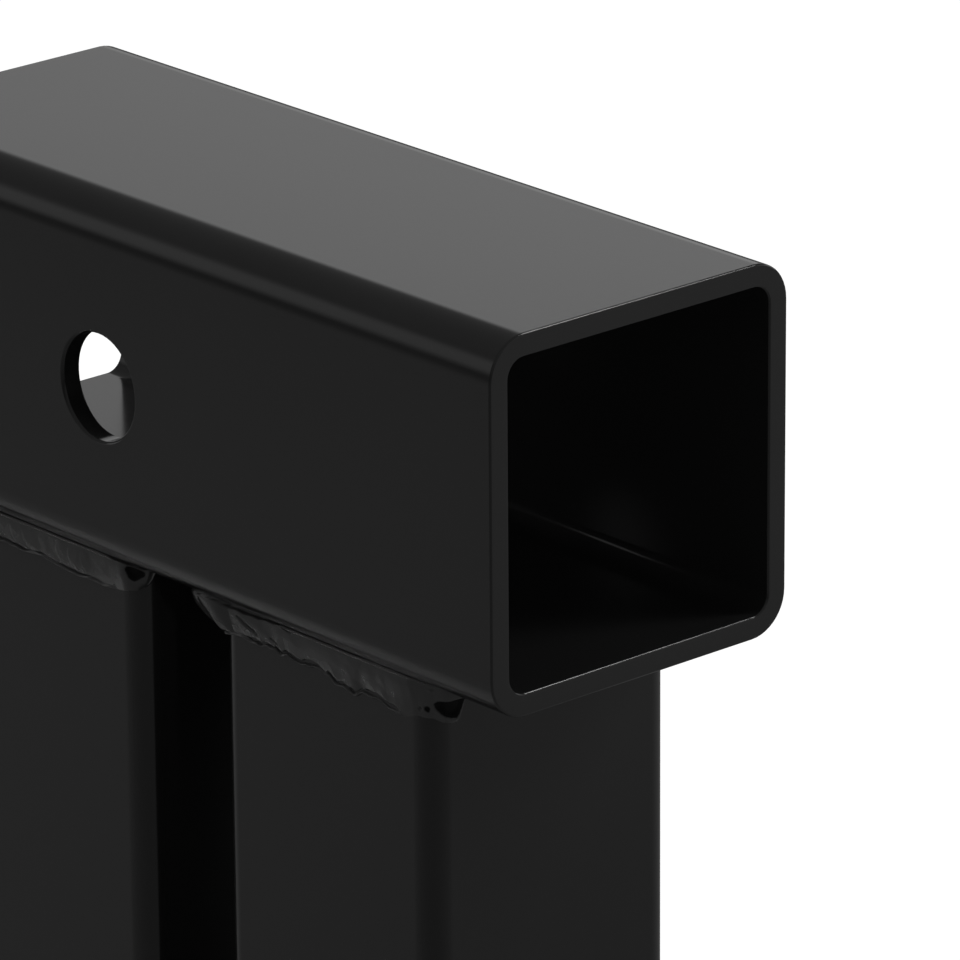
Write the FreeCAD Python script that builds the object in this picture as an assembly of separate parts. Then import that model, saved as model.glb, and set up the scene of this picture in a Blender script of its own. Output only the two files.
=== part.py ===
import FreeCAD, Part
import math
import os

Vector = FreeCAD.Vector

# Dual receiver extender for a tow hitch, welded from square steel tube.
# All sizes are in millimetres, and angles in degrees.
# The origin is the centre of the shank's pin hole. +X runs along the shank to the mouths of the two
# receivers, +Y is across, along the pin holes, and +Z is up. Left is -Y and right is +Y.

# Least radius inside the corners of a tube
smallest_inner_corner = 0.8

# Receiver tubes, each open at its mouth for the shank of a rack or a ball mount
receiver_width = 60.0
receiver_wall = 3.7
receiver_corner = 6.8
upper_receiver_length = 155.0
lower_socket_depth = 155.0
receiver_pin_setback = 91.0

# Shank tube, which slides into the receiver on the vehicle
shank_width = 50.0
shank_wall = 5.0
shank_corner = 6.5
shank_exposed_length = 200.0
shank_engagement = 60.0
shank_pin_setback = 65.0

# Upright tubes, which carry the upper receiver above the lower one
upright_width = 49.5
upright_wall = 3.0
upright_corner = 4.2
upright_length = 200.0
mouth_upright_setback = 19.7
upright_gap = 19.0

# Hitch pin holes
pin_hole_diameter = 17.4

# Chamfers that deburring leaves on the cut edges
tube_end_chamfer = 0.25
hole_edge_chamfer = 0.4

# Beads along the sides of the uprights. Reach is measured over the receiver and leg along the upright.
side_bead_reach = 2.0
side_bead_inner_leg = 4.9
side_bead_outer_leg = 6.8

# Run-out of the side beads round the inner corners, into the gap between the uprights
mouth_upright_flare = 8.5
mouth_upright_wrap = 85.0
shank_upright_flare = 2.4
shank_upright_wrap = 80.0
flare_leg = 2.8

# Stop of the side beads, where the welder carried each one round the outer corner to a thick blob
corner_turn = 40.0
corner_leg = 5.2
stop_turn = 84.0
stop_reach = 3.0
stop_leg = 5.6

# Beads across the outer faces of the uprights, tapering off beside the blobs
end_bead_reach = 3.0
end_bead_leg = 4.4
end_bead_tip_reach = 2.2
end_bead_tip_leg = 3.0
end_bead_taper = 5.0
end_bead_clearance = 0.8

# Beads round the shank. Reach is measured over the receiver's end and leg along the shank.
shank_bead_reach = 4.3
shank_bead_leg = 5.4

# Hand-laid form that all the beads share
bead_swell = 0.7
bead_bite = 1.0
bead_nose = 1.6
blunt_nose_share = 0.4
nose_clearance = 2.1
ripple_length = 6.4
ripple_share = 0.06
wander_length = 17.0
wander_share = 0.06
wander_seed_share = 2.3
bead_section_pitch = 5.3
bead_section_turn = 30.0
bead_facets = 3
steepest_toe_share = 0.95

# Places that follow from the sizes
shank_tip_x = -shank_pin_setback
lower_receiver_back_x = shank_tip_x + shank_exposed_length
shank_root_x = lower_receiver_back_x + shank_engagement
mouth_x = shank_root_x + lower_socket_depth
upper_receiver_back_x = mouth_x - upper_receiver_length
receiver_pin_x = mouth_x - receiver_pin_setback
upright_foot_z = receiver_width / 2
upright_top_z = upright_foot_z + upright_length
upper_receiver_z = upright_top_z + receiver_width / 2
mouth_upright_x = mouth_x - mouth_upright_setback - upright_width / 2
shank_upright_x = mouth_upright_x - upright_gap - upright_width

FORWARD = Vector(1, 0, 0)
BACKWARD = Vector(-1, 0, 0)
LEFT = Vector(0, -1, 0)
RIGHT = Vector(0, 1, 0)
UP = Vector(0, 0, 1)
DOWN = Vector(0, 0, -1)

quarter_turn = 90.0
same_place = 1e-6


def rounded_square(centre, across, up, width, corner):
    """Closed wire of a square with round corners, in the plane of across and up."""
    half = width / 2
    flat = half - corner
    edges = []
    for turn in range(4):
        angle = math.radians(quarter_turn * turn)
        out = across * math.cos(angle) + up * math.sin(angle)
        along = up * math.cos(angle) - across * math.sin(angle)
        hub = centre + (out + along) * flat
        start = centre + out * half - along * flat
        end = hub + out * corner
        middle = hub + (out + along) * (corner / math.sqrt(2))
        next_start = hub + along * corner
        edges.append(Part.LineSegment(start, end).toShape())
        edges.append(Part.Arc(end, middle, next_start).toShape())
    return Part.Wire(edges)


def square_tube(start, axis, across, length, width, wall, corner):
    """Square tube with round corners outside and inside, its end edges still sharp."""
    up = axis.cross(across)
    inner_corner = max(corner - wall, smallest_inner_corner)
    outside = Part.Face(rounded_square(start, across, up, width, corner))
    inside = Part.Face(rounded_square(start, across, up, width - 2 * wall, inner_corner))
    section = outside.cut(inside).Faces[0]
    return section.extrude(axis * length)


def cut_end_edges(tube, axis):
    """Edges that lie in the two cut ends of a tube."""
    spans = []
    for edge in tube.Edges:
        places = [vertex.Point.dot(axis) for vertex in edge.Vertexes]
        spans.append((min(places), max(places), edge))
    ends = (min(span[0] for span in spans), max(span[1] for span in spans))
    return [edge for low, high, edge in spans
            if any(abs(low - end) < same_place and abs(high - end) < same_place for end in ends)]


def drilled(tube, x, z):
    """Tube with the pin hole drilled through both its side walls, and the hole's edges deburred."""
    reach = tube.BoundBox.YLength
    drill = Part.makeCylinder(pin_hole_diameter / 2, 2 * reach, Vector(x, -reach, z), RIGHT)
    tube = tube.cut(drill)
    rims = [edge for edge in tube.Edges if isinstance(edge.Curve, Part.Circle)
            and abs(edge.Curve.Radius - pin_hole_diameter / 2) < same_place]
    return tube.makeChamfer(hole_edge_chamfer, rims)


def receiver_tube(back_x, z):
    """Receiver tube that ends at the mouth plane."""
    tube = square_tube(Vector(back_x, 0, z), FORWARD, RIGHT, mouth_x - back_x,
                       receiver_width, receiver_wall, receiver_corner)
    tube = tube.makeChamfer(tube_end_chamfer, cut_end_edges(tube, FORWARD))
    return drilled(tube, receiver_pin_x, z)


def shank_tube():
    """Shank, with its root inside the lower receiver and its pin hole at the origin."""
    tube = square_tube(Vector(shank_tip_x, 0, 0), FORWARD, RIGHT, shank_root_x - shank_tip_x,
                       shank_width, shank_wall, shank_corner)
    tube = tube.makeChamfer(tube_end_chamfer, cut_end_edges(tube, FORWARD))
    return drilled(tube, 0.0, 0.0)


def upright_tube(x):
    """Upright, cut square to stand between the two receivers."""
    return square_tube(Vector(x, 0, upright_foot_z), UP, FORWARD, upright_length,
                       upright_width, upright_wall, upright_corner)


def face_rise(point):
    """How far the face of a receiver has curved away from its flat, beside a point."""
    past_flat = max(0.0, abs(point.y) - (receiver_width / 2 - receiver_corner))
    past_flat = min(past_flat, steepest_toe_share * receiver_corner)
    return receiver_corner - math.sqrt(receiver_corner ** 2 - past_flat ** 2)


def end_rise(point):
    """The cut end of a receiver is flat all over."""
    return 0.0


class TubeSide:
    """One side of a square tube's outline, from the middle of its face and on round both corners."""

    def __init__(self, middle, out, along, width, corner):
        self.middle = middle
        self.out = out
        self.along = along
        self.half = width / 2
        self.corner = corner
        self.flat = width / 2 - corner

    def place(self, distance):
        """Point at a distance along the side, and the direction there that faces away from the tube."""
        if abs(distance) <= self.flat:
            return self.middle + self.out * self.half + self.along * distance, self.out
        end = math.copysign(1.0, distance)
        angle = (abs(distance) - self.flat) / self.corner
        away = self.out * math.cos(angle) + self.along * (end * math.sin(angle))
        hub = self.middle + (self.out + self.along * end) * self.flat
        return hub + away * self.corner, away

    def wrapped(self, degrees):
        """Distance along the side at which its corner has turned by an angle."""
        return self.flat + math.radians(degrees) * self.corner


def section_places(side, low, high):
    """Where a bead's sections stand: evenly on the flat, by angle round corners, and close at the noses."""
    steps = max(2, round(2 * side.flat / bead_section_pitch))
    between = [side.flat * (2 * step / steps - 1) for step in range(steps + 1)]
    for turn in range(1, math.ceil(quarter_turn / bead_section_turn)):
        between.append(side.wrapped(turn * bead_section_turn))
        between.append(-side.wrapped(turn * bead_section_turn))
    noses = [0.0, bead_nose / 4, bead_nose]
    places = [place for place in between if low + nose_clearance < place < high - nose_clearance]
    places += [low + depth for depth in noses]
    places += [high - depth for depth in noses]
    return sorted(places)


def size_between(knots, distance):
    """Reach and leg of a bead at a distance, run evenly between the places where they are given."""
    for (low, low_reach, low_leg), (high, high_reach, high_leg) in zip(knots, knots[1:]):
        if distance <= high:
            share = (distance - low) / (high - low)
            return low_reach + (high_reach - low_reach) * share, low_leg + (high_leg - low_leg) * share
    return knots[-1][1:]


def hand_laid(distance, seed):
    """How much over or under size a hand-laid bead is at a distance: ripples on a slow wander."""
    ripple = ripple_share * math.sin(2 * math.pi * distance / ripple_length + seed)
    wander = wander_share * math.sin(2 * math.pi * distance / wander_length + wander_seed_share * seed)
    return ripple + wander


def nosed_size(distance, depth, seed):
    """Size of a bead that stops in a blunt round nose."""
    rest = max(0.0, 1.0 - depth / bead_nose)
    return (1.0 + hand_laid(distance, seed)) * max(blunt_nose_share, math.sqrt(1.0 - rest ** 2))


def met_size(distance, depth, seed):
    """Size of a bead that runs on into its neighbour, at its plain size where they meet."""
    return 1.0 + hand_laid(distance, seed) * min(1.0, depth / bead_nose)


def bead_section(root, out, down, reach, leg, swell, rise):
    """Corners across a bead: its back on the tube, its top sunk in the receiver, its outer face swelling."""
    sunk = down * -(rise + bead_bite)
    top = root + out * reach - down * rise
    slope = root + down * leg - top
    outward = (out * leg + down * reach).normalize()
    corners = [root + sunk, root + out * reach + sunk]
    for facet in range(bead_facets + 1):
        share = facet / bead_facets
        corners.append(top + slope * share + outward * (swell * math.sin(math.pi * share)))
    return corners


def flat_face(corners):
    """Flat face with straight edges."""
    return Part.Face(Part.makePolygon(corners + corners[:1]))


def faceted_loft(sections):
    """Solid through a row of polygons, with two flat facets for each side between neighbours."""
    faces = [flat_face(sections[0]), flat_face(sections[-1])]
    for near, far in zip(sections, sections[1:]):
        for corner in range(len(near)):
            after = (corner + 1) % len(near)
            faces.append(flat_face([near[corner], near[after], far[after]]))
            faces.append(flat_face([near[corner], far[after], far[corner]]))
    return Part.Solid(Part.Shell(faces))


def laid_bead(side, down, knots, size_at, rise_at, seed, joined):
    """Bead along one side of a tube, cut to sit on the tube and on the receiver that it joins."""
    low, high = knots[0][0], knots[-1][0]
    sections = []
    for distance in section_places(side, low, high):
        root, out = side.place(distance)
        reach, leg = size_between(knots, distance)
        size = size_at(distance, min(distance - low, high - distance), seed)
        rise = rise_at(root + out * (reach * size))
        sections.append(bead_section(root, out, down, reach * size, leg * size, bead_swell * size, rise))
    body = faceted_loft(sections).cut(joined).removeSplitter()
    return max(body.Solids, key=lambda solid: solid.Volume)


def upright_side_bead(middle, out, outward, down, flare, wrap, seed, joined):
    """Bead along a side of an upright, flared round the inner corner and stopped round the outer one."""
    side = TubeSide(middle, out, outward, upright_width, upright_corner)
    knots = (
        (-side.wrapped(wrap), flare, flare_leg),
        (-side.flat, side_bead_reach, side_bead_inner_leg),
        (side.flat, side_bead_reach, side_bead_outer_leg),
        (side.wrapped(corner_turn), side_bead_reach, corner_leg),
        (side.wrapped(stop_turn), stop_reach, stop_leg),
    )
    return laid_bead(side, down, knots, nosed_size, face_rise, seed, joined)


def upright_end_bead(middle, outward, down, seed, joined):
    """Bead across the outer face of an upright, tapered at both ends."""
    side = TubeSide(middle, outward, RIGHT, upright_width, upright_corner)
    tip = side.flat - end_bead_clearance
    run = tip - end_bead_taper
    knots = (
        (-tip, end_bead_tip_reach, end_bead_tip_leg),
        (-run, end_bead_reach, end_bead_leg),
        (run, end_bead_reach, end_bead_leg),
        (tip, end_bead_tip_reach, end_bead_tip_leg),
    )
    return laid_bead(side, down, knots, nosed_size, face_rise, seed, joined)


def upright_beads(name, middle, outward, down, flare, wrap, seed, joined):
    """The three beads where one end of an upright stands against a receiver."""
    return {
        f"{name}_left_weld": upright_side_bead(middle, LEFT, outward, down, flare, wrap, seed, joined),
        f"{name}_right_weld": upright_side_bead(middle, RIGHT, outward, down, flare, wrap, seed + 1, joined),
        f"{name}_end_weld": upright_end_bead(middle, outward, down, seed + 2, joined),
    }


def shank_beads(joined):
    """Four beads that close the joint round the shank and meet at its corners."""
    beads = {}
    sides = (("top", UP, RIGHT), ("right", RIGHT, DOWN), ("bottom", DOWN, LEFT), ("left", LEFT, UP))
    for number, (name, out, along) in enumerate(sides):
        side = TubeSide(Vector(lower_receiver_back_x, 0, 0), out, along, shank_width, shank_corner)
        reach = side.wrapped(quarter_turn / 2)
        knots = ((-reach, shank_bead_reach, shank_bead_leg), (reach, shank_bead_reach, shank_bead_leg))
        beads[f"shank_{name}_weld"] = laid_bead(side, BACKWARD, knots, met_size, end_rise, number, joined)
    return beads


def extender():
    """Every piece of the extender, by name."""
    upper = receiver_tube(upper_receiver_back_x, upper_receiver_z)
    lower = receiver_tube(lower_receiver_back_x, 0.0)
    shank = shank_tube()
    pieces = {"upper_receiver_tube": upper, "lower_receiver_tube": lower, "shank_tube": shank}
    uprights = (
        ("mouth_upright", mouth_upright_x, FORWARD, mouth_upright_flare, mouth_upright_wrap),
        ("shank_upright", shank_upright_x, BACKWARD, shank_upright_flare, shank_upright_wrap),
    )
    ends = (("top", upright_top_z, DOWN, upper), ("foot", upright_foot_z, UP, lower))
    seed = 0
    for name, x, outward, flare, wrap in uprights:
        upright = upright_tube(x)
        pieces[name] = upright
        for end, z, down, receiver in ends:
            joined = [upright, receiver]
            beads = upright_beads(f"{name}_{end}", Vector(x, 0, z), outward, down, flare, wrap, seed, joined)
            pieces.update(beads)
            seed += len(beads)
    pieces.update(shank_beads([shank, lower]))
    return pieces


def main():
    os.makedirs("parts", exist_ok=True)
    for name, shape in extender().items():
        shape.exportStep(f"parts/{name}.step")
        print(name, "solids", len(shape.Solids), "valid", shape.isValid(), "volume", round(shape.Volume, 1))


main()
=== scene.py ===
import math

import bpy
from mathutils import Matrix, Vector, noise


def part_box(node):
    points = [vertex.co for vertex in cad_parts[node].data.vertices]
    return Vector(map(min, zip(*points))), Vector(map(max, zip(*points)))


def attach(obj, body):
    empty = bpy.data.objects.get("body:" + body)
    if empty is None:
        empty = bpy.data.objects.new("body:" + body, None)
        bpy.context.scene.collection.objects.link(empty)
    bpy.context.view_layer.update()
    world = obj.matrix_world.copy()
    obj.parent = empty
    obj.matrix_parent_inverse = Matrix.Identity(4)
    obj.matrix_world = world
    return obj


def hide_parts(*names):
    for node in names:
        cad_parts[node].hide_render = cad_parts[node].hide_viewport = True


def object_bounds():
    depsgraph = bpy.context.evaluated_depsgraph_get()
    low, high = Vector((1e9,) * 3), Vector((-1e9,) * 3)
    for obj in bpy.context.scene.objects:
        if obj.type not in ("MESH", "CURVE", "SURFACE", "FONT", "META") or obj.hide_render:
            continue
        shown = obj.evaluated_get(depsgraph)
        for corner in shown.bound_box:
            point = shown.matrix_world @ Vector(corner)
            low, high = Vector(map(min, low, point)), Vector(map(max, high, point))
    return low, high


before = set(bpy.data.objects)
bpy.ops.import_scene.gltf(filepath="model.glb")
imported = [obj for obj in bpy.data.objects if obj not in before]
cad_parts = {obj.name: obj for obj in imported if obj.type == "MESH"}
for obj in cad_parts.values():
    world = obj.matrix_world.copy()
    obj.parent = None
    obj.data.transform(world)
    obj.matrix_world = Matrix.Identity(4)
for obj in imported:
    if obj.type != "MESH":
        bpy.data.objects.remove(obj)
cad_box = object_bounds()

# Looks of a dual receiver extender, welded from square tube and coated satin black.
# Everything is in metres, in the frame of the solids: the origin is the shank's pin hole, +X runs to the
# mouths, +Z is up, and the near side is -Y.
MM = 0.001

# Camera
camera_place = Vector((1.168214, -0.758994, 0.664546))
camera_azimuth = 48.3785
camera_elevation = 19.8503
camera_roll = -0.4134
camera_sensor = 36.0
camera_lens = 299.24
camera_far = 100.0

# Studio
floor_half_width = 60.0
background_white = 1.0
horizon_bright = 0.92
horizon_dim = 0.20
haze_share = 0.35
haze_height = 0.16
overhead_behind = 0.16
overhead_in_front = 0.21
glow_low_edge = 0.335
glow_high_edge = 0.50
glow_left_side = -0.25
glow_right_side = 0.20
glow_left_share = 0.68
glow_right_share = 1.10
floor_colour = 0.35
floor_roughness = 0.85
floor_top_up = 0.90

# Where the sky changes from the camera's side to behind the object, as the part of a direction that points there
camera_side = -1.0
glow_far_side = 0.6
overhead_far_side = 0.2

# Lamps: places in metres, powers in watts, spreads in degrees. The floor lamps' places and aims are given from
# the middle of the object, and the mouth lamp's place from the middle of the upper mouth.
floor_lamp_size = 0.6
floor_lamps = (
    ("left_floor_lamp", (-0.52, -0.42, 0.9), (-0.4, -0.38, -0.15), 3.8),
    ("back_floor_lamp", (0.9, 1.2, 1.0), (0.7, 0.7, -0.15), 7.0),
)
foot_lamp_y = -0.09
foot_lamp_height = 0.6
foot_lamp_size = 0.12
foot_lamp_power = 0.031
foot_lamp_spread = 24.0
edge_softbox_place = (1.05, 1.25, 1.75)
edge_softbox_target = (0.35, 0.0, 0.28)
edge_softbox_size = 0.25
edge_softbox_power = 3.0
mouth_fill_offset = (0.85, -0.3, 0.14)
mouth_fill_size = 0.05
mouth_fill_power = 0.0035
mouth_fill_spread = 8.0

# Finish
tube_black = 0.016
# The welds carry the tubes' coat; theirs is painted lighter, as painted light for the beads' brighter look
weld_black_painted_lighter = 0.036
tube_roughness = 0.15
weld_roughness = 0.15
# The pits' coat is darker, rougher and less shiny than the weld's: painted shade in their hollows
pit_shade_black = 0.006
pit_roughness = 0.6
coat_shine = 0.5
pit_shine = 0.12
tube_peel = 0.03 * MM
weld_peel = 0.02 * MM
peel_size = 1.1 * MM
wave_share = 3.0
mottle_size = 24.0 * MM
shade_drift = 0.06
roughness_drift = 0.08
grain_detail = 2.0
grain_softness = 0.5

# Cut edges of the tubes
edge_round = 0.1 * MM
edge_round_segments = 2
sharpest_smooth_angle = 35.0
same_corner = 0.01 * MM

# Tubes that the beads are laid on
receiver_half_width = 30.0 * MM
receiver_corner = 6.8 * MM
upright_half_width = 24.75 * MM
upright_corner = 4.2 * MM
shank_half_width = 25.0 * MM
shank_corner = 6.5 * MM
steepest_toe_share = 0.97

# Mesh of a bead: points across its face and the pitch of its rings
face_points = 56
fine_ring_pitch = 0.13 * MM
plain_ring_pitch = 0.30 * MM
least_rings = 8
toe_crowding = 0.1
grid_half = 1.0
same_place = 0.0005 * MM
# Slot of the pits' darker coat, which is painted shade
painted_shade_slot = 1

# Steps in the noise that keep the beads unlike one another
line_step = 7.3
line_start = 0.5
surface_step = 11.7

# Form of a hand-laid bead
nose_length = 2.0 * MM
nose_least = 0.1
back_depth = 0.7 * MM
back_leg_shares = (0.8, 0.3)
back_reach_shares = (0.25, 0.6, 0.9)
ripple_pitch = 3.6 * MM
ripple_height = 0.06 * MM
ripple_bow = 2.6 * MM
ripple_fall = 0.16
ripple_shift = 0.35
ripple_shift_size = 9.0 * MM
ripple_patch_size = 5.0 * MM
ripple_middle = 0.58
ripple_spread = 0.5
lump_size = 5.0 * MM
lump_height = 0.11 * MM
knob_size = 1.6 * MM
knob_height = 0.025 * MM
toe_wander_size = 7.0 * MM
toe_wander = 0.20 * MM
toe_jag_size = 1.6 * MM
toe_jag = 0.07 * MM
toe_torn_jag = 0.20 * MM
upper_crack_place = 0.10 * MM
upper_crack_half_width = 0.13 * MM
upper_lip_place = 0.40 * MM
upper_lip_half_width = 0.32 * MM
upper_lip_height = 0.12 * MM
lower_lip_place = 0.18 * MM
lower_lip_height = 0.36 * MM
lower_lip_half_width = 0.34 * MM
lower_crack_place = 0.56 * MM
lower_crack_half_width = 0.20 * MM
crack_depth = 0.50 * MM
crack_patch_size = 6.0 * MM
torn_patch_size = 3.5 * MM
torn_most = 1.4
crack_stray = 0.12 * MM
crack_stray_size = 2.0 * MM
slit_depth = 0.80 * MM
slit_steepness = 3.0
lip_fade = 3.0 * MM
pit_steepness = 1.8
pit_unevenness = 0.12
pit_lobes = 3.0
# Share of a pit's radius that takes the darker coat of painted shade
painted_shade_share = 0.86

# A plain bead: how torn its lower toe is, the middle, half span and strength of its ripples, and a lip that
# runs from before its start to past its stop
plain_torn = 0.3
plain_ripples = (0.0, 30.0 * MM, 1.0)
well_before = -1.0
well_past = 1.0

# Beads across the outer faces of the uprights and round the shank: reach, leg, swell and bluntness
end_bead_tip = (2.2 * MM, 3.0 * MM, 0.2 * MM, 0.0)
end_bead_full = (3.0 * MM, 4.4 * MM, 0.5 * MM, 0.0)
end_bead_taper = 5.0 * MM
end_bead_clearance = 0.8 * MM
shank_bead = (4.0 * MM, 5.2 * MM, 0.6 * MM, 0.0)
shank_bead_turn = 45.0
first_shank_seed = 20


def look_direction(azimuth, elevation):
    """Unit vector from what is looked at to the camera."""
    a, e = math.radians(azimuth), math.radians(elevation)
    return Vector((math.sin(a) * math.cos(e), -math.cos(a) * math.cos(e), math.sin(e)))


def add_camera():
    """Camera at the photograph's viewing angle."""
    data = bpy.data.cameras.new("camera")
    data.sensor_width = camera_sensor
    data.lens = camera_lens
    data.clip_end = camera_far
    camera = bpy.data.objects.new("camera", data)
    back = look_direction(camera_azimuth, camera_elevation)
    level = (-back).to_track_quat("-Z", "Y").to_matrix()
    turned = level @ Matrix.Rotation(math.radians(camera_roll), 3, "Z")
    camera.matrix_world = Matrix.Translation(camera_place) @ turned.to_4x4()
    bpy.context.scene.collection.objects.link(camera)
    bpy.context.scene.camera = camera


def studio_world():
    """White to the camera, and elsewhere a broad glow low behind the object, brighter to its right, under a
    dimmer ceiling."""
    world = bpy.data.worlds.new("studio")
    world.use_nodes = True
    bpy.context.scene.world = world
    tree = world.node_tree
    tree.nodes.clear()
    direction = tree.nodes.new("ShaderNodeTexCoord")
    split = tree.nodes.new("ShaderNodeSeparateXYZ")
    tree.links.new(direction.outputs["Generated"], split.inputs[0])

    def part_along(axis):
        node = tree.nodes.new("ShaderNodeVectorMath")
        node.operation = "DOT_PRODUCT"
        node.inputs[1].default_value = axis
        tree.links.new(direction.outputs["Generated"], node.inputs[0])
        return node.outputs["Value"]

    def ramp(value, from_low, from_high, to_low, to_high):
        node = tree.nodes.new("ShaderNodeMapRange")
        node.interpolation_type = "SMOOTHSTEP"
        ends = ("From Min", from_low), ("From Max", from_high), ("To Min", to_low), ("To Max", to_high)
        for name, end_value in ends:
            node.inputs[name].default_value = end_value
        tree.links.new(value, node.inputs["Value"])
        return node.outputs["Result"]

    def blend(factor, low, high):
        node = tree.nodes.new("ShaderNodeMix")
        node.data_type = "FLOAT"
        tree.links.new(factor, node.inputs["Factor"])
        for socket, value in ((node.inputs[2], low), (node.inputs[3], high)):
            if isinstance(value, float):
                socket.default_value = value
            else:
                tree.links.new(value, socket)
        return node.outputs[0]

    def product(first, second):
        node = tree.nodes.new("ShaderNodeMath")
        node.operation = "MULTIPLY"
        tree.links.new(first, node.inputs[0])
        tree.links.new(second, node.inputs[1])
        return node.outputs[0]

    behind = part_along(-look_direction(camera_azimuth, 0.0))
    beside = part_along(look_direction(camera_azimuth + 90.0, 0.0))
    glow = ramp(behind, camera_side, glow_far_side, horizon_dim, horizon_bright)
    ceiling = ramp(behind, camera_side, overhead_far_side, overhead_in_front, overhead_behind)
    haze = ramp(split.outputs["Z"], 0.0, haze_height, haze_share, 1.0)
    tilt = ramp(beside, glow_left_side, glow_right_side, glow_left_share, glow_right_share)
    low_glow = product(product(glow, haze), tilt)
    height = ramp(split.outputs["Z"], glow_low_edge, glow_high_edge, 0.0, 1.0)
    path = tree.nodes.new("ShaderNodeLightPath")
    strength = blend(path.outputs["Is Camera Ray"], blend(height, low_glow, ceiling), background_white)
    shade = tree.nodes.new("ShaderNodeBackground")
    tree.links.new(strength, shade.inputs["Strength"])
    out = tree.nodes.new("ShaderNodeOutputWorld")
    tree.links.new(shade.outputs[0], out.inputs["Surface"])


def add_node(tree, kind, inputs):
    """Adds a node and fills its inputs with values, or with links from other nodes."""
    node = tree.nodes.new(kind)
    for name, value in inputs.items():
        if isinstance(value, bpy.types.NodeSocket):
            tree.links.new(value, node.inputs[name])
        else:
            node.inputs[name].default_value = value
    return node


def sprayed_skin():
    """Node group for a sprayed coat: peel and slow waves as a height, drifts of shade and roughness."""
    group = bpy.data.node_groups.new("sprayed_skin", "ShaderNodeTree")
    for name in ("Shade", "Roughness", "Peel"):
        group.interface.new_socket(name, in_out="INPUT", socket_type="NodeSocketFloat")
    group.interface.new_socket("Shade", in_out="OUTPUT", socket_type="NodeSocketColor")
    group.interface.new_socket("Roughness", in_out="OUTPUT", socket_type="NodeSocketFloat")
    group.interface.new_socket("Height", in_out="OUTPUT", socket_type="NodeSocketFloat")
    given = group.nodes.new("NodeGroupInput")
    made = group.nodes.new("NodeGroupOutput")
    place = group.nodes.new("ShaderNodeTexCoord").outputs["Object"]

    def grain(size):
        inputs = {"Vector": place, "Scale": 1.0 / size, "Detail": grain_detail, "Roughness": grain_softness}
        return add_node(group, "ShaderNodeTexNoise", inputs).outputs["Fac"]

    def drift(value, amount, pattern):
        spread = {"Value": pattern, "To Min": 1.0 - amount, "To Max": 1.0 + amount}
        share = add_node(group, "ShaderNodeMapRange", spread)
        node = add_node(group, "ShaderNodeMath", {0: value, 1: share.outputs["Result"]})
        node.operation = "MULTIPLY"
        return node.outputs[0]

    slow = grain(mottle_size)
    fine = grain(peel_size)
    waves = add_node(group, "ShaderNodeMath", {0: slow, 1: wave_share, 2: fine})
    waves.operation = "MULTIPLY_ADD"
    rising = add_node(group, "ShaderNodeMath", {0: waves.outputs[0], 1: given.outputs["Peel"]})
    rising.operation = "MULTIPLY"
    group.links.new(drift(given.outputs["Shade"], shade_drift, slow), made.inputs["Shade"])
    group.links.new(drift(given.outputs["Roughness"], roughness_drift, slow), made.inputs["Roughness"])
    group.links.new(rising.outputs[0], made.inputs["Height"])
    return group


def floor_material(skin):
    """Pale floor that is white to the camera and keeps the object's shadow."""
    material = bpy.data.materials.new("pale_floor")
    material.use_nodes = True
    tree = material.node_tree
    coat = tree.nodes["Principled BSDF"]
    spray = tree.nodes.new("ShaderNodeGroup")
    spray.node_tree = skin
    spray.inputs["Shade"].default_value = floor_colour
    spray.inputs["Roughness"].default_value = floor_roughness
    tree.links.new(spray.outputs["Shade"], coat.inputs["Base Color"])
    tree.links.new(spray.outputs["Roughness"], coat.inputs["Roughness"])
    coat.inputs["Specular IOR Level"].default_value = 0.0
    coat.inputs["Emission Color"].default_value = (1.0, 1.0, 1.0, 1.0)
    path = tree.nodes.new("ShaderNodeLightPath")
    top_up = tree.nodes.new("ShaderNodeMath")
    top_up.operation = "MULTIPLY"
    top_up.inputs[1].default_value = floor_top_up
    tree.links.new(path.outputs["Is Camera Ray"], top_up.inputs[0])
    tree.links.new(top_up.outputs[0], coat.inputs["Emission Strength"])
    return material


def add_floor(skin):
    """Wide plain floor under the lower receiver."""
    bpy.ops.object.select_all(action="DESELECT")
    lowest = cad_box[0].z
    bpy.ops.mesh.primitive_plane_add(size=2 * floor_half_width, location=(0, 0, lowest))
    floor = bpy.context.active_object
    floor.name = "floor"
    floor.data.materials.append(floor_material(skin))


def soft_lamp(name, place, target, size, power):
    """Square area lamp that faces a target."""
    data = bpy.data.lights.new(name, "AREA")
    data.shape = "SQUARE"
    data.size = size
    data.energy = power
    lamp = bpy.data.objects.new(name, data)
    lamp.location = place
    facing = Vector(target) - Vector(place)
    lamp.rotation_mode = "QUATERNION"
    lamp.rotation_quaternion = facing.to_track_quat("-Z", "Y")
    bpy.context.scene.collection.objects.link(lamp)
    return lamp


def light_studio():
    """Lamps on the floor at the left, at the back and at the near side's foot, a softbox for the mouths' upper
    edges and a weak fill in the upper mouth."""
    middle = (cad_box[0] + cad_box[1]) / 2
    for name, offset, aim, power in floor_lamps:
        lamp = soft_lamp(name, middle + Vector(offset), middle + Vector(aim), floor_lamp_size, power)
        lamp.visible_glossy = False
    foot = Vector((0.0, foot_lamp_y, cad_box[0].z))
    above = foot + Vector((0.0, 0.0, foot_lamp_height))
    pool = soft_lamp("foot_lamp", above, foot, foot_lamp_size, foot_lamp_power)
    pool.data.spread = math.radians(foot_lamp_spread)
    pool.visible_camera = False
    pool.visible_glossy = False
    soft_lamp("edge_softbox", edge_softbox_place, edge_softbox_target, edge_softbox_size, edge_softbox_power)
    mouth = Vector((cad_box[1].x, 0.0, cad_box[1].z - receiver_half_width))
    fill = soft_lamp("mouth_fill", mouth + Vector(mouth_fill_offset), mouth, mouth_fill_size, mouth_fill_power)
    fill.data.spread = math.radians(mouth_fill_spread)
    fill.visible_glossy = False


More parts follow.
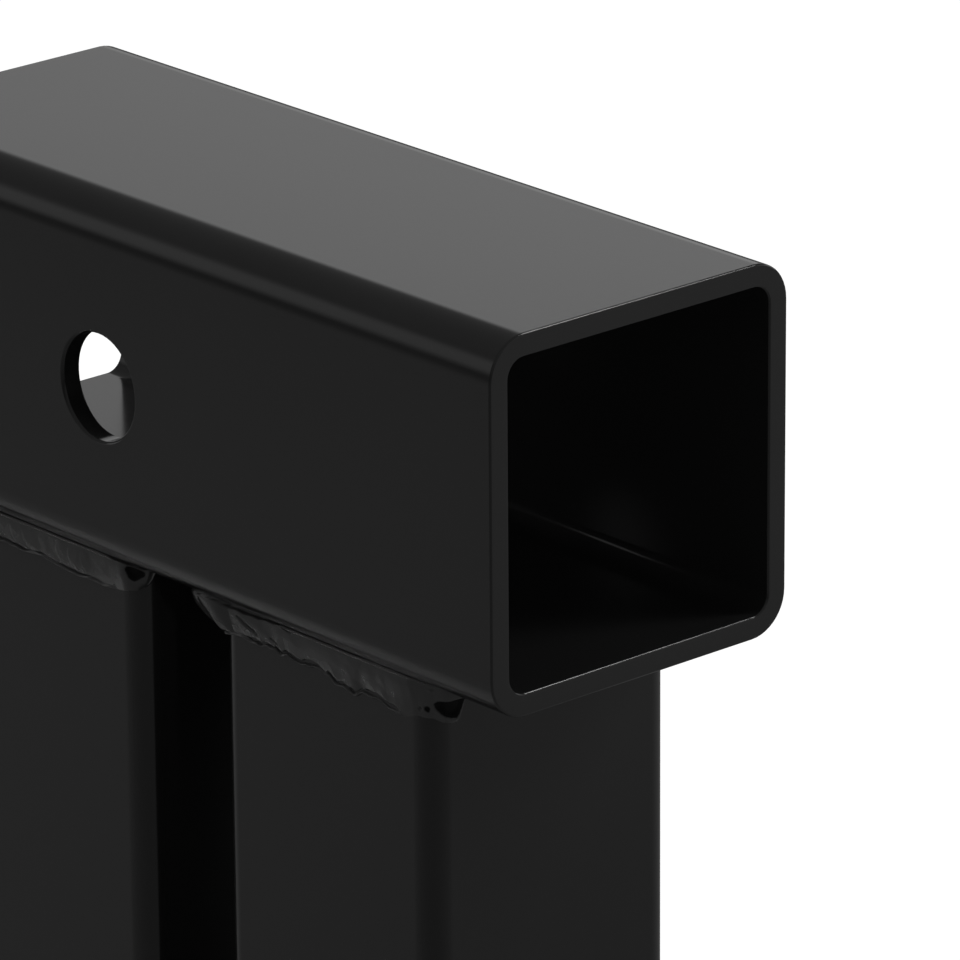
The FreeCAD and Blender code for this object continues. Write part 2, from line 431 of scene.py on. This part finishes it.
def coating(name, skin, black, roughness, peel, shine=coat_shine):
    """Satin black coating, sprayed on, or the darker coat of painted shade in a pit."""
    material = bpy.data.materials.new(name)
    material.use_nodes = True
    tree = material.node_tree
    coat = tree.nodes["Principled BSDF"]
    spray = tree.nodes.new("ShaderNodeGroup")
    spray.node_tree = skin
    spray.inputs["Shade"].default_value = black
    spray.inputs["Roughness"].default_value = roughness
    spray.inputs["Peel"].default_value = peel
    bump = add_node(tree, "ShaderNodeBump", {"Height": spray.outputs["Height"]})
    tree.links.new(spray.outputs["Shade"], coat.inputs["Base Color"])
    tree.links.new(spray.outputs["Roughness"], coat.inputs["Roughness"])
    coat.inputs["Specular IOR Level"].default_value = shine
    tree.links.new(bump.outputs["Normal"], coat.inputs["Normal"])
    return material


def paint(piece, materials):
    """Gives a piece its materials, the first of them all over."""
    piece.data.materials.clear()
    for material in materials:
        piece.data.materials.append(material)


class TubeSide:
    """One side of a square tube's outline, from the middle of its face and on round both corners."""

    def __init__(self, middle, out, along, half_width, corner):
        self.middle = Vector(middle)
        self.out = Vector(out)
        self.along = Vector(along)
        self.half = half_width
        self.corner = corner
        self.flat = half_width - corner

    def place(self, distance):
        """Point at a distance along the side, and the direction there that faces away from the tube."""
        along = self.along * math.copysign(1.0, distance)
        past_flat = abs(distance) - self.flat
        if past_flat <= 0:
            return self.middle + self.out * self.half + along * abs(distance), self.out
        hub = self.middle + (self.out + along) * self.flat
        angle = past_flat / self.corner
        if angle >= math.pi / 2:
            return hub + along * self.corner - self.out * (past_flat - self.corner * math.pi / 2), along
        away = self.out * math.cos(angle) + along * math.sin(angle)
        return hub + away * self.corner, away

    def wrapped(self, degrees):
        """Distance along the side at which its corner has turned by an angle."""
        return self.flat + math.radians(degrees) * self.corner


def face_rise(point):
    """How far the face of a receiver has curved away from its flat, beside a point."""
    past_flat = max(0.0, abs(point.y) - (receiver_half_width - receiver_corner))
    past_flat = min(past_flat, steepest_toe_share * receiver_corner)
    return receiver_corner - math.sqrt(receiver_corner ** 2 - past_flat ** 2)


def end_rise(point):
    """The cut end of a receiver is flat all over."""
    return 0.0


def waver(distance, size, seed):
    """Smooth uneven line along a bead, from about -1 to 1."""
    return 2.0 * noise.noise(Vector((distance / size, line_step * seed, line_start)))


def uneven(point, size, seed):
    """Smooth uneven surface in space, from about -1 to 1."""
    return 2.0 * noise.noise(point / size + Vector((0.0, 0.0, surface_step * seed)))


def hill(value, centre, half_width):
    """Smooth bump about a centre, 1 at its top and 0 beyond its half width."""
    if half_width <= 0.0 or abs(value - centre) >= half_width:
        return 0.0
    return (1.0 - ((value - centre) / half_width) ** 2) ** 2


def ease(value, low, high):
    """Smooth step, from 0 at the low value to 1 at the high one."""
    share = min(1.0, max(0.0, (value - low) / (high - low)))
    return share * share * (3.0 - 2.0 * share)


def size_between(knots, distance):
    """Reach, leg, swell and bluntness of a bead at a distance, run evenly between where they are given."""
    for low, high in zip(knots, knots[1:]):
        if distance <= high[0]:
            share = max(0.0, (distance - low[0]) / (high[0] - low[0]))
            return [first + (second - first) * share for first, second in zip(low[1:], high[1:])]
    return knots[-1][1:]


class Bead:
    """A hand-laid bead on one side of a tube: where it lies, how big it is and how its face runs."""

    def __init__(self, side, down, knots, rise_at, seed, torn=plain_torn, ripples=plain_ripples,
                 lip_span=(well_before, well_past), slits=(), pits=()):
        self.side = side
        self.down = Vector(down)
        self.knots = knots
        self.rise_at = rise_at
        self.seed = seed
        self.torn = torn
        self.ripples = ripples
        self.lip_span = lip_span
        self.slits = slits
        self.pits = pits
        self.low = knots[0][0]
        self.high = knots[-1][0]

    def ripple(self, distance, share):
        """Height of the overlapping scales that the welder's hand leaves, uneven in pitch and strength."""
        bowed = distance + ripple_bow * (2.0 * share - 1.0) ** 2
        turn = bowed / ripple_pitch + ripple_shift * waver(distance, ripple_shift_size, self.seed + 3)
        part = turn - math.floor(turn)
        climb = part / (1.0 - ripple_fall)
        scale = climb if climb < 1.0 else (1.0 - part) / ripple_fall
        centre, half_span, strength = self.ripples
        patches = 0.5 + 0.7 * waver(distance, ripple_patch_size, self.seed + 5)
        strength *= patches * hill(distance, centre, half_span)
        across = hill(share, ripple_middle, ripple_spread)
        return ripple_height * max(0.0, strength) * across * ease(scale, 0.0, 1.0)

    def cracks(self, distance, across, width):
        """Height of the lip along the lower toe, and of the cracks and slits that the coating leaves open."""
        wide = 0.8 + 0.4 * waver(distance, crack_patch_size, self.seed + 9)
        torn = 0.55 + 0.9 * waver(distance, torn_patch_size, self.seed + 11)
        shift = crack_stray * waver(distance, crack_stray_size, self.seed + 13)
        from_toe = width - across + shift
        first, last = self.lip_span
        lipped = ease(distance, first, first + lip_fade) * ease(-distance, -last, lip_fade - last)
        height = -crack_depth * hill(across, upper_crack_place, upper_crack_half_width * wide)
        height += upper_lip_height * hill(across, upper_lip_place, upper_lip_half_width)
        lip = (0.6 + 0.4 * wide) * hill(from_toe, lower_lip_place, lower_lip_half_width)
        height += lower_lip_height * lipped * lip
        torn_width = lower_crack_half_width * min(torn_most, torn) * lipped
        height -= crack_depth * hill(from_toe, lower_crack_place, torn_width)
        for start, start_across, stop, stop_across, half_width in self.slits:
            if start < distance < stop:
                part = (distance - start) / (stop - start)
                middle = start_across + (stop_across - start_across) * part + shift
                offset = (across if middle > 0.0 else across - width) - middle
                open_width = half_width * math.sin(math.pi * part) ** 0.5
                height -= slit_depth * min(1.0, slit_steepness * hill(offset, 0.0, open_width))
        for pit_distance, pit_across, radius, depth, painted_shade in self.pits:
            offset = self.from_pit(distance - pit_distance, across - pit_across)
            height -= depth * min(1.0, pit_steepness * hill(offset, 0.0, radius))
        return height

    def from_pit(self, beside, below):
        """Distance from the middle of a pit, uneven so that the pit isn't round."""
        bearing = math.atan2(below, beside)
        return math.hypot(beside, below) * (1.0 + pit_unevenness * math.sin(pit_lobes * bearing + self.seed))

    def painted_shade(self, distance, share):
        """Whether a place on the face lies inside one of the bead's pits that get the darker coat of painted
        shade.
        """
        reach, leg, swell, blunt = size_between(self.knots, distance)
        width = math.hypot(reach - blunt, leg + self.rise_at(self.side.place(distance)[0]))
        return any(self.from_pit(distance - pit_distance, share * width - pit_across) < painted_shade_share * radius
                   for pit_distance, pit_across, radius, depth, painted_shade in self.pits if painted_shade)

    def crowded(self, share):
        """Moves evenly spaced places across the face closer together at both toes."""
        return share - toe_crowding * math.sin(2.0 * math.pi * share)

    def ring(self, distance):
        """Points round the bead at a distance: across its face from the receiver's side, then behind it."""
        root, out = self.side.place(distance)
        depth = min(distance - self.low, self.high - distance)
        full = max(nose_least, math.sqrt(1.0 - max(0.0, 1.0 - depth / nose_length) ** 2))
        reach, leg, swell, blunt = (size * full for size in size_between(self.knots, distance))
        sway = toe_wander * waver(distance, toe_wander_size, self.seed)
        sway += (toe_jag + toe_torn_jag * self.torn) * waver(distance, toe_jag_size, self.seed + 1)
        leg += sway * full
        rise = self.rise_at(root + out * reach)
        top = root + out * reach - self.down * rise
        slope = root + self.down * leg + out * blunt - top
        width = slope.length
        outward = (out * (leg + rise) + self.down * (reach - blunt)).normalized()
        points = []
        for number in range(face_points):
            share = self.crowded(number / (face_points - 1))
            rounded = 1.0 - abs(2.0 * share - 1.0) ** 3
            point = top + slope * share
            height = self.cracks(distance, share * width, width) + self.ripple(distance, share)
            height += rounded * lump_height * uneven(point, lump_size, self.seed)
            height += rounded * knob_height * uneven(point, knob_size, self.seed)
            points.append(point + outward * (height * full + swell * rounded))
        sunk = -rise - back_depth
        behind = [(-back_depth, leg_share * leg) for leg_share in back_leg_shares]
        behind += [(-back_depth, sunk)] + [(reach_share * reach, sunk) for reach_share in back_reach_shares]
        points += [root + out * (across * full) + self.down * lower for across, lower in behind]
        return points


def lay_bead(node, bead, coats):
    """Models a bead from a grid that is rolled up into a closed skin, in place of its plain solid."""
    pitch = fine_ring_pitch if node.endswith("top_left_weld") else plain_ring_pitch
    rings = max(least_rings, round((bead.high - bead.low) / pitch))
    placed = [bead.ring(bead.low + (bead.high - bead.low) * step / rings) for step in range(rings + 1)]
    for end in (0, -1):
        middle = sum(placed[end], Vector()) / len(placed[end])
        placed.insert(0 if end == 0 else len(placed), [middle] * len(placed[end]))
    columns, rows = len(placed) - 1, len(placed[0])
    bpy.ops.object.select_all(action="DESELECT")
    bpy.ops.mesh.primitive_grid_add(x_subdivisions=columns, y_subdivisions=rows, size=2.0 * grid_half)
    piece = bpy.context.active_object
    piece.name = node.replace("_weld", "_bead")
    piece.data.name = piece.name
    paint(piece, coats)

    def column_and_row(place):
        return ((place.x + grid_half) / (2.0 * grid_half) * columns,
                (place.y + grid_half) / (2.0 * grid_half) * rows)

    for polygon in piece.data.polygons:
        column, row = column_and_row(polygon.center)
        share = row / (face_points - 1)
        distance = bead.low + (bead.high - bead.low) * (column - 1.0) / rings
        # Faces inside the darkened pits get the darker coat: painted shade
        if share < 1.0 and bead.painted_shade(distance, bead.crowded(share)):
            polygon.material_index = painted_shade_slot
    for vertex in piece.data.vertices:
        column, row = column_and_row(vertex.co)
        vertex.co = placed[round(column)][round(row) % rows]
    bpy.ops.object.mode_set(mode="EDIT")
    bpy.ops.mesh.select_all(action="SELECT")
    bpy.ops.mesh.remove_doubles(threshold=same_place)
    bpy.ops.mesh.normals_make_consistent(inside=False)
    bpy.ops.object.mode_set(mode="OBJECT")
    bpy.ops.object.shade_smooth()
    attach(piece, "root")
    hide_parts(node)
    return piece


def round_cut_edges(piece):
    """Welds a tube's loose triangles, rounds its cut edges a little and keeps its flats flat."""
    weld = piece.modifiers.new("weld", "WELD")
    weld.merge_threshold = same_corner
    bevel = piece.modifiers.new("round", "BEVEL")
    bevel.width = edge_round
    bevel.segments = edge_round_segments
    bevel.limit_method = "ANGLE"
    bevel.angle_limit = math.radians(sharpest_smooth_angle)
    bevel.harden_normals = True
    flats = piece.modifiers.new("flats", "WEIGHTED_NORMAL")
    flats.mode = "FACE_AREA"
    flats.keep_sharp = True


def dress_tubes(skin):
    """Coats the tubes, and gives back the coats of the beads: the weld's own, painted lighter as painted light,
    and the darker coat of painted shade in a pit.
    """
    tube_coat = coating("coated_tube", skin, tube_black, tube_roughness, tube_peel)
    weld_coat = coating("coated_weld", skin, weld_black_painted_lighter, weld_roughness, weld_peel)
    for name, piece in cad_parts.items():
        for polygon in piece.data.polygons:
            polygon.use_smooth = True
        paint(piece, [weld_coat if name.endswith("_weld") else tube_coat])
        if not name.endswith("_weld"):
            round_cut_edges(piece)
    return weld_coat, coating("pit_painted_shade", skin, pit_shade_black, pit_roughness, weld_peel, pit_shine)


def side_sizes(name, side):
    """Places along a bead on an upright's side, with its reach, leg, swell and bluntness there."""
    stop = (
        (side.wrapped(20), 1.6 * MM, 6.2 * MM, -0.2 * MM, 0.0),
        (side.wrapped(50), 2.2 * MM, 6.4 * MM, 0.0, 0.3 * MM),
        (side.wrapped(68), 3.2 * MM, 6.8 * MM, 0.4 * MM, 1.2 * MM),
        (side.wrapped(90) + 1.6 * MM, 3.4 * MM, 7.4 * MM, 0.5 * MM, 1.4 * MM),
    )
    if name == "mouth_upright":
        return (
            (-side.wrapped(85), 7.6 * MM, 4.0 * MM, 1.5 * MM, 0.6 * MM),
            (-side.wrapped(62), 6.6 * MM, 5.0 * MM, 1.6 * MM, 0.6 * MM),
            (-side.wrapped(48), 5.2 * MM, 4.2 * MM, 1.0 * MM, 0.4 * MM),
            (-side.wrapped(30), 3.8 * MM, 5.4 * MM, 0.9 * MM, 0.3 * MM),
            (-side.flat, 1.7 * MM, 4.8 * MM, 0.3 * MM, 0.0),
            (-14.7 * MM, 1.3 * MM, 5.1 * MM, 0.2 * MM, 0.0),
            (0.0, 1.3 * MM, 5.05 * MM, 0.2 * MM, 0.0),
            (3.6 * MM, 1.3 * MM, 6.1 * MM, 0.2 * MM, 0.0),
            (7.3 * MM, 1.3 * MM, 6.7 * MM, 0.2 * MM, 0.0),
            (9.8 * MM, 1.3 * MM, 6.1 * MM, 0.2 * MM, 0.0),
            (17.2 * MM, 1.4 * MM, 6.9 * MM, 0.1 * MM, 0.0),
        ) + stop
    return (
        (-side.wrapped(80), 2.4 * MM, 3.4 * MM, 0.4 * MM, 0.3 * MM),
        (-side.wrapped(40), 2.0 * MM, 4.8 * MM, 0.2 * MM, 0.1 * MM),
        (-side.flat, 1.3 * MM, 5.1 * MM, 0.2 * MM, 0.0),
        (-14.3 * MM, 1.3 * MM, 5.7 * MM, 0.2 * MM, 0.0),
        (-9.8 * MM, 1.3 * MM, 5.9 * MM, 0.2 * MM, 0.0),
        (-0.9 * MM, 1.3 * MM, 5.1 * MM, 0.2 * MM, 0.0),
        (10.3 * MM, 1.3 * MM, 5.3 * MM, 0.2 * MM, 0.0),
        (side.flat, 1.4 * MM, 6.0 * MM, 0.0, 0.0),
    ) + stop


# Slits in the beads beside the uprights, each given by start, place across there, stop, place across there and
# half width. A place across is measured from the upper toe, or from the lower toe if it is below zero.
mouth_slits = (
    (-24.5 * MM, 0.55 * MM, -8.0 * MM, 0.15 * MM, 0.60 * MM),
    (-18.9 * MM, 1.8 * MM, -14.5 * MM, 4.05 * MM, 0.42 * MM),
    (-17.5 * MM, -0.7 * MM, -11.6 * MM, -0.7 * MM, 0.34 * MM),
    (-15.0 * MM, -0.1 * MM, -12.0 * MM, -0.1 * MM, 0.16 * MM),
    (-11.8 * MM, 3.5 * MM, -9.9 * MM, 4.2 * MM, 0.12 * MM),
    (-10.9 * MM, -0.8 * MM, -9.3 * MM, -0.8 * MM, 0.40 * MM),
    (-9.6 * MM, -0.1 * MM, -4.6 * MM, -0.1 * MM, 0.18 * MM),
    (-9.0 * MM, -0.9 * MM, -5.4 * MM, -0.8 * MM, 0.28 * MM),
    (-8.2 * MM, 0.5 * MM, -6.0 * MM, 1.0 * MM, 0.14 * MM),
    (-4.4 * MM, -0.8 * MM, -0.6 * MM, -0.8 * MM, 0.44 * MM),
    (-4.0 * MM, -0.1 * MM, 2.6 * MM, -0.1 * MM, 0.16 * MM),
    (1.2 * MM, -0.7 * MM, 3.5 * MM, -0.7 * MM, 0.34 * MM),
    (3.6 * MM, -0.65 * MM, 5.6 * MM, -0.65 * MM, 0.32 * MM),
    (6.6 * MM, -0.7 * MM, 7.8 * MM, -0.7 * MM, 0.32 * MM),
    (10.2 * MM, -0.9 * MM, 17.4 * MM, -0.9 * MM, 0.32 * MM),
    (11.0 * MM, -0.1 * MM, 17.0 * MM, -0.1 * MM, 0.16 * MM),
)
shank_slits = (
    (-25.5 * MM, 0.5 * MM, -18.8 * MM, 0.1 * MM, 0.45 * MM),
)


def corner_pits(side, name):
    """Pit at the stop of a side bead with small marks before it, and one at its inner end, the darker ones with
    painted shade. Each is given by distance, place across, radius, depth and whether it gets the darker coat of
    painted shade; one with a depth below zero is spatter."""
    pits = (
        (side.wrapped(78), 4.3 * MM, 2.1 * MM, 1.2 * MM, True),
        (side.wrapped(38), 5.1 * MM, 0.5 * MM, 0.3 * MM, True),
        (side.wrapped(22), 5.6 * MM, 0.4 * MM, 0.2 * MM, False),
        (side.wrapped(46), 1.6 * MM, 0.4 * MM, -0.15 * MM, False),
    )
    if name == "shank_upright":
        pits += ((-side.wrapped(36), 1.9 * MM, 1.4 * MM, 0.8 * MM, True),)
    return pits


# How the side beads of the uprights differ: how torn the lower toe is, the middle, half span and strength of
# the ripples, where the lip along the lower toe starts, and the slits
lip_stop = 19.5 * MM
side_bead_styles = {
    "mouth_upright": (0.9, (10.0 * MM, 11.0 * MM, 1.0), well_before, mouth_slits),
    "shank_upright": (0.15, (0.0, 22.0 * MM, 1.6), -lip_stop, shank_slits),
}


def lay_upright_beads(coats):
    """The three beads at each end of the two uprights."""
    outward = {"mouth_upright": Vector((1, 0, 0)), "shank_upright": Vector((-1, 0, 0))}
    seed = 1
    for name, forward in outward.items():
        low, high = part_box(name)
        middle = (low + high) / 2
        torn, ripples, lip_start, slits = side_bead_styles[name]
        for end, z, down in (("top", high.z, Vector((0, 0, -1))), ("foot", low.z, Vector((0, 0, 1)))):
            centre = Vector((middle.x, middle.y, z))
            for hand, out in (("left", Vector((0, -1, 0))), ("right", Vector((0, 1, 0)))):
                side = TubeSide(centre, out, forward, upright_half_width, upright_corner)
                bead = Bead(side, down, side_sizes(name, side), face_rise, seed, torn, ripples,
                            (lip_start, lip_stop), slits, corner_pits(side, name))
                lay_bead(f"{name}_{end}_{hand}_weld", bead, coats)
                seed += 1
            side = TubeSide(centre, forward, (0, 1, 0), upright_half_width, upright_corner)
            tip = side.flat - end_bead_clearance
            run = tip - end_bead_taper
            knots = ((-tip, *end_bead_tip), (-run, *end_bead_full), (run, *end_bead_full), (tip, *end_bead_tip))
            lay_bead(f"{name}_{end}_end_weld", Bead(side, down, knots, face_rise, seed), coats)
            seed += 1


def lay_shank_beads(coats):
    """The four beads round the shank, where it enters the lower receiver."""
    back_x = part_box("lower_receiver_tube")[0].x
    up, right = Vector((0, 0, 1)), Vector((0, 1, 0))
    sides = (("top", up, right), ("right", right, -up), ("bottom", -up, -right), ("left", -right, up))
    for seed, (name, out, along) in enumerate(sides, first_shank_seed):
        side = TubeSide((back_x, 0, 0), out, along, shank_half_width, shank_corner)
        end = side.wrapped(shank_bead_turn)
        knots = ((-end, *shank_bead), (end, *shank_bead))
        lay_bead(f"shank_{name}_weld", Bead(side, (-1, 0, 0), knots, end_rise, seed), coats)


bpy.context.scene.view_settings.view_transform = "Standard"
add_camera()
studio_world()
skin = sprayed_skin()
add_floor(skin)
light_studio()
weld_coats = dress_tubes(skin)
lay_upright_beads(weld_coats)
lay_shank_beads(weld_coats)
